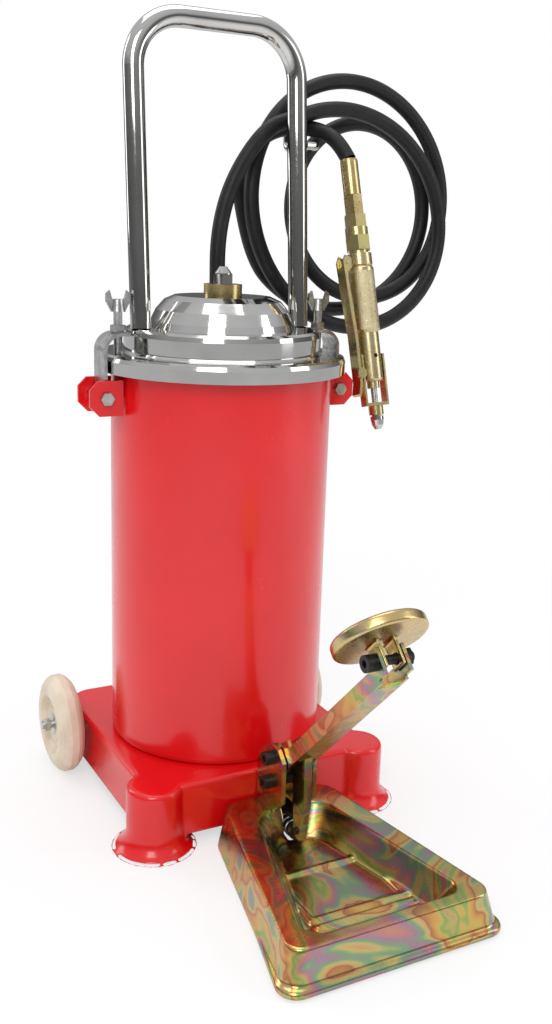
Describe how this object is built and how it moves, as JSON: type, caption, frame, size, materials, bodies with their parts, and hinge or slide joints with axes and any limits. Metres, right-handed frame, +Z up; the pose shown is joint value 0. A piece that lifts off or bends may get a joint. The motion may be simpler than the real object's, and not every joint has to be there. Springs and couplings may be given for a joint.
{
  "type": "foot operated gear oil pump",
  "caption": "Foot operated gear oil pump: a drum on a wheeled base, clamped lid with push handle, pedal driven plunger pump, coiled hose and control gun.",
  "frame": {"origin": "the drum's axis on the ground, at the level of the tray's and the front feet's underside", "axes": "+Z up along the drum's axis; -Y towards the foot pedal and tray; +X towards the side that carries the hose"},
  "size_m": [0.4475, 0.4834, 0.7455],
  "materials": {
    "red_paint": "gloss",
    "chrome": "polished",
    "zinc_yellow": "yellow chromate plated",
    "steel": "zinc plated",
    "brass": "satin",
    "black_oxide": "satin",
    "hose_rubber": "matte",
    "seal_rubber": "matte",
    "wheel_plastic": "satin",
    "cast_iron": "machined"
  },
  "bodies": {
    "root": {"base_shell": "red_paint", "drum": "red_paint", "lid": "chrome", "lid_gasket": "seal_rubber", "lid_disc": "brass", "acorn_nut": "chrome", "lid_stud": "steel", "hose_grommet": "seal_rubber", "left_lug_bracket": "red_paint", "right_lug_bracket": "red_paint", "left_clamp_pin": "steel", "right_clamp_pin": "steel", "handle": "chrome", "hose_hook": "chrome", "riser_pipe": "steel", "riser_fitting": "steel", "hose_rise": "hose_rubber", "hose_drop": "hose_rubber", "hose_coil": "hose_rubber", "hose_ferrule": "brass", "hose_nut": "brass", "pump_barrel": "cast_iron", "plunger_seal": "seal_rubber", "check_balls": "steel", "plunger_spring": "steel", "inlet_strainer": "steel", "pivot_bracket": "zinc_yellow", "pivot_bolt": "black_oxide", "stop_bolt": "black_oxide", "tray": "zinc_yellow", "axle": "steel", "axle_nuts": "steel", "drum_bolts": "steel"},
    "pedal_lever": {"pedal_lever": "zinc_yellow", "lever_bushes": "steel", "tail_pin": "black_oxide", "pad_bolt": "black_oxide"},
    "pedal_pad": {"pedal_pad": "zinc_yellow"},
    "plunger": {"pump_plunger": "black_oxide", "plunger_head": "black_oxide"},
    "left_wheel": {"left_wheel": "wheel_plastic", "left_wheel_bearings": "steel"},
    "right_wheel": {"right_wheel": "wheel_plastic", "right_wheel_bearings": "steel"},
    "left_clamp": {"left_clamp_arm": "steel", "left_clamp_nut": "steel"},
    "right_clamp": {"right_clamp_arm": "steel", "right_clamp_nut": "steel"},
    "left_wing_screw": {"left_wing_screw": "steel"},
    "right_wing_screw": {"right_wing_screw": "steel"},
    "gun": {"gun_swivel": "zinc_yellow", "gun_body": "zinc_yellow", "gun_frame": "zinc_yellow", "gun_pins": "steel", "gun_stem": "steel", "gun_coupler": "zinc_yellow", "gun_nozzle": "chrome", "trigger_pivot_lug": "zinc_yellow"},
    "gun_trigger": {"gun_trigger": "zinc_yellow", "gun_knob": "zinc_yellow"}
  },
  "joints": [
    {"name": "pedal_stroke", "type": "hinge", "parent": "root", "child": "pedal_lever", "pos_m": [0.007, -0.147, 0.088], "axis": [1, 0, 0], "range_deg": [0, 28], "stiffness_Nm_per_rad": 6, "springref_deg": -28.65},
    {"name": "pad_tilt", "type": "hinge", "parent": "pedal_lever", "child": "pedal_pad", "pos_m": [0.007, -0.2975, 0.23589], "axis": [1, 0, 0], "range_deg": [-15, 15]},
    {"name": "plunger_slide", "type": "slide", "parent": "root", "child": "plunger", "axis": [0, 1, 0], "range_m": [0, 0.0362], "deforming": ["plunger_spring"]},
    {"name": "left_wheel_spin", "type": "hinge", "parent": "root", "child": "left_wheel", "pos_m": [-0.139, 0.08, 0.05], "axis": [1, 0, 0], "continuous": true},
    {"name": "right_wheel_spin", "type": "hinge", "parent": "root", "child": "right_wheel", "pos_m": [0.139, 0.08, 0.05], "axis": [1, 0, 0], "continuous": true},
    {"name": "left_clamp_swing", "type": "hinge", "parent": "root", "child": "left_clamp", "pos_m": [-0.1215, 0, 0.403], "axis": [0, -1, 0], "range_deg": [0, 105]},
    {"name": "right_clamp_swing", "type": "hinge", "parent": "root", "child": "right_clamp", "pos_m": [0.1215, 0, 0.403], "axis": [0, 1, 0], "range_deg": [0, 105]},
    {"name": "left_wing_screw_turn", "type": "hinge", "parent": "left_clamp", "child": "left_wing_screw", "pos_m": [-0.104, 0, 0.46], "axis": [0, 0, 1], "continuous": true},
    {"name": "right_wing_screw_turn", "type": "hinge", "parent": "right_clamp", "child": "right_wing_screw", "pos_m": [0.104, 0, 0.46], "axis": [0, 0, 1], "continuous": true},
    {"name": "gun_swivel_turn", "type": "hinge", "parent": "root", "child": "gun", "pos_m": [0.1315, 0, 0.622], "axis": [0.0349, -0.2418, -0.9697], "continuous": true},
    {"name": "trigger_squeeze", "type": "hinge", "parent": "gun", "child": "gun_trigger", "pos_m": [0.11697, -0.02409, 0.52539], "axis": [0, -0.9703, 0.2419], "range_deg": [0, 1.2], "stiffness_Nm_per_rad": 2, "springref_deg": -5.73}
  ],
  "couplings": [
    {"joint": "plunger_slide", "follows": "pedal_stroke", "m_per_rad": 0.0737}
  ]
}
